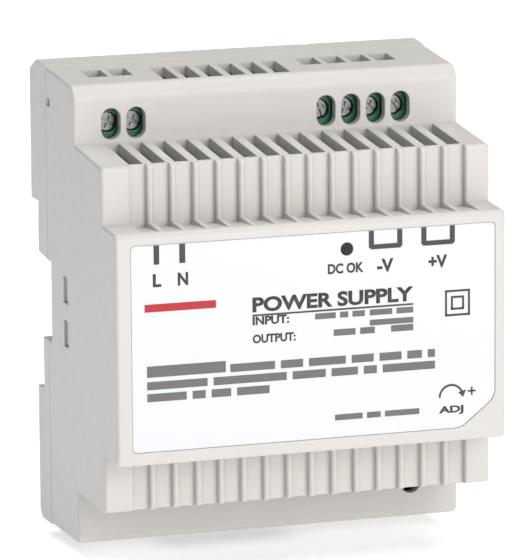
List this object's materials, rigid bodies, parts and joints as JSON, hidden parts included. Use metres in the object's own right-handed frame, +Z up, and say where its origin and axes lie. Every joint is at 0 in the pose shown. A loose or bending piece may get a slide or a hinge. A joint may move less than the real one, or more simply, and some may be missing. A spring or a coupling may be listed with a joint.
{
  "type": "din rail power supply",
  "caption": "Slim stepped plastic power supply that clips on a 35 mm rail, with screw terminals behind holes, vent slots, ribbed faces, a white front label and a sprung rail latch.",
  "frame": {"origin": "centre line of the 35 mm rail, mid-width, on the plane that the rail flanges rest against", "axes": "+X to the right seen from the front, +Y back towards the rail, +Z up"},
  "size_m": [0.078, 0.056, 0.0944],
  "materials": {
    "housing": "fine satin moulding",
    "base": "fine satin moulding",
    "latch": "satin moulding",
    "spring_steel": "drawn wire",
    "label": "smooth white film",
    "board": "coated laminate",
    "insulation": "thin film",
    "steel": "zinc plated",
    "terminal_green": "green terminal plastic",
    "brass": "tinned",
    "clear": "clear moulding",
    "blue_plastic": "moulded",
    "black_plastic": "moulded",
    "ferrite": "sintered ferrite",
    "copper": "enamelled wire",
    "tape": "yellow tape and casing",
    "disc_coat": "dipped coating",
    "can_sleeve": "sleeved can",
    "aluminium": "rolled sheet",
    "resistor_coat": "dipped coating",
    "diode_coat": "moulded"
  },
  "bodies": {
    "housing": {"board_screws": "steel", "bridge_rectifier": "black_plastic", "bridging_capacitor": "disc_coat", "bulk_capacitor": "can_sleeve", "choke_base": "black_plastic", "choke_core": "ferrite", "choke_windings": "copper", "controller": "black_plastic", "diodes": "diode_coat", "front_cover": "housing", "fuse": "black_plastic", "heatsink_screws": "steel", "inductor_core": "ferrite", "inductor_winding": "copper", "input_capacitor": "tape", "input_contacts": "brass", "input_terminal_housing": "terminal_green", "inrush_thermistor": "disc_coat", "insulation_sheet": "insulation", "label": "label", "latch_spring": "spring_steel", "light_pipe": "clear", "main_board": "board", "optocoupler": "black_plastic", "output_capacitor_1": "can_sleeve", "output_capacitor_2": "can_sleeve", "output_capacitor_3": "can_sleeve", "output_contacts": "brass", "output_rectifier": "black_plastic", "output_terminal_housing": "terminal_green", "primary_heatsink": "aluminium", "rear_base": "base", "resistors": "resistor_coat", "secondary_heatsink": "aluminium", "status_led": "clear", "switching_transistor": "black_plastic", "transformer_bobbin": "black_plastic", "transformer_core": "ferrite", "transformer_winding": "tape", "trimmer_body": "blue_plastic", "varistor": "disc_coat"},
    "latch": {"rail_latch": "latch"},
    "trimmer": {"trimmer_rotor": "black_plastic"},
    "screw_l": {"terminal_screw_l": "steel"},
    "clamp_l": {"clamp_l": "steel"},
    "screw_n": {"terminal_screw_n": "steel"},
    "clamp_n": {"clamp_n": "steel"},
    "screw_minus_1": {"terminal_screw_minus_1": "steel"},
    "clamp_minus_1": {"clamp_minus_1": "steel"},
    "screw_minus_2": {"terminal_screw_minus_2": "steel"},
    "clamp_minus_2": {"clamp_minus_2": "steel"},
    "screw_plus_1": {"terminal_screw_plus_1": "steel"},
    "clamp_plus_1": {"clamp_plus_1": "steel"},
    "screw_plus_2": {"terminal_screw_plus_2": "steel"},
    "clamp_plus_2": {"clamp_plus_2": "steel"}
  },
  "joints": [
    {"name": "latch_slide", "type": "slide", "parent": "housing", "child": "latch", "axis": [0, 0, -1], "range_m": [0, 0.0035], "stiffness_N_per_m": 2000, "springref_m": -0.002, "deforming": ["latch_spring"]},
    {"name": "trimmer_turn", "type": "hinge", "parent": "housing", "child": "trimmer", "pos_m": [0.0292, -0.0172, -0.038], "axis": [0, 1, 0], "range_deg": [-105, 105]},
    {"name": "screw_l_turn", "type": "hinge", "parent": "housing", "child": "screw_l", "pos_m": [-0.0315, -0.02, 0.03705], "axis": [0, 1, 0], "range_deg": [0, 1760]},
    {"name": "clamp_l_rise", "type": "slide", "parent": "housing", "child": "clamp_l", "axis": [0, -1, 0], "range_m": [0, 0.0022]},
    {"name": "screw_n_turn", "type": "hinge", "parent": "housing", "child": "screw_n", "pos_m": [-0.0265, -0.02, 0.03705], "axis": [0, 1, 0], "range_deg": [0, 1760]},
    {"name": "clamp_n_rise", "type": "slide", "parent": "housing", "child": "clamp_n", "axis": [0, -1, 0], "range_m": [0, 0.0022]},
    {"name": "screw_minus_1_turn", "type": "hinge", "parent": "housing", "child": "screw_minus_1", "pos_m": [0.0115, -0.02, 0.03705], "axis": [0, 1, 0], "range_deg": [0, 1760]},
    {"name": "clamp_minus_1_rise", "type": "slide", "parent": "housing", "child": "clamp_minus_1", "axis": [0, -1, 0], "range_m": [0, 0.0022]},
    {"name": "screw_minus_2_turn", "type": "hinge", "parent": "housing", "child": "screw_minus_2", "pos_m": [0.01658, -0.02, 0.03705], "axis": [0, 1, 0], "range_deg": [0, 1760]},
    {"name": "clamp_minus_2_rise", "type": "slide", "parent": "housing", "child": "clamp_minus_2", "axis": [0, -1, 0], "range_m": [0, 0.0022]},
    {"name": "screw_plus_1_turn", "type": "hinge", "parent": "housing", "child": "screw_plus_1", "pos_m": [0.02166, -0.02, 0.03705], "axis": [0, 1, 0], "range_deg": [0, 1760]},
    {"name": "clamp_plus_1_rise", "type": "slide", "parent": "housing", "child": "clamp_plus_1", "axis": [0, -1, 0], "range_m": [0, 0.0022]},
    {"name": "screw_plus_2_turn", "type": "hinge", "parent": "housing", "child": "screw_plus_2", "pos_m": [0.02674, -0.02, 0.03705], "axis": [0, 1, 0], "range_deg": [0, 1760]},
    {"name": "clamp_plus_2_rise", "type": "slide", "parent": "housing", "child": "clamp_plus_2", "axis": [0, -1, 0], "range_m": [0, 0.0022]}
  ],
  "couplings": [
    {"joint": "screw_l_turn", "follows": "clamp_l_rise", "rad_per_m": 13963},
    {"joint": "screw_n_turn", "follows": "clamp_n_rise", "rad_per_m": 13963},
    {"joint": "screw_minus_1_turn", "follows": "clamp_minus_1_rise", "rad_per_m": 13963},
    {"joint": "screw_minus_2_turn", "follows": "clamp_minus_2_rise", "rad_per_m": 13963},
    {"joint": "screw_plus_1_turn", "follows": "clamp_plus_1_rise", "rad_per_m": 13963},
    {"joint": "screw_plus_2_turn", "follows": "clamp_plus_2_rise", "rad_per_m": 13963}
  ]
}
